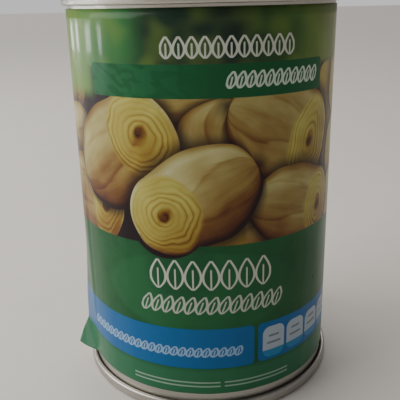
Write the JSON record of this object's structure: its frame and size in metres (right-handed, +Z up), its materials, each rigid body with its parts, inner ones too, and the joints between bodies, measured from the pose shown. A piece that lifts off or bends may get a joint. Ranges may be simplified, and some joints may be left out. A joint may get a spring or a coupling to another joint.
{
  "type": "labelled food can",
  "caption": "Round steel food can with plain double-seamed ends and a wrapped glossy paper label with one loose corner, packed with artichoke hearts.",
  "frame": {"origin": "centre of the can's base plane, on the can's axis", "axes": "+Z up along the can's axis; the front of the label faces -Y"},
  "size_m": [0.0773, 0.0762, 0.11],
  "materials": {
    "body_tinplate": "satin",
    "end_tinplate": "satin",
    "seam_compound": "matte",
    "label_paper": "gloss",
    "label_glue": "satin",
    "cooked_artichoke": "satin"
  },
  "bodies": {
    "root": {"can_body": "body_tinplate", "top_end": "end_tinplate", "bottom_end": "end_tinplate", "top_seam_compound": "seam_compound", "bottom_seam_compound": "seam_compound", "paper_label": "label_paper", "label_pickup_glue": "label_glue", "label_lap_glue": "label_glue", "artichoke_heart_1": "cooked_artichoke", "artichoke_heart_2": "cooked_artichoke", "artichoke_heart_3": "cooked_artichoke", "artichoke_heart_4": "cooked_artichoke", "artichoke_heart_5": "cooked_artichoke", "artichoke_heart_6": "cooked_artichoke"}
  },
  "joints": []
}
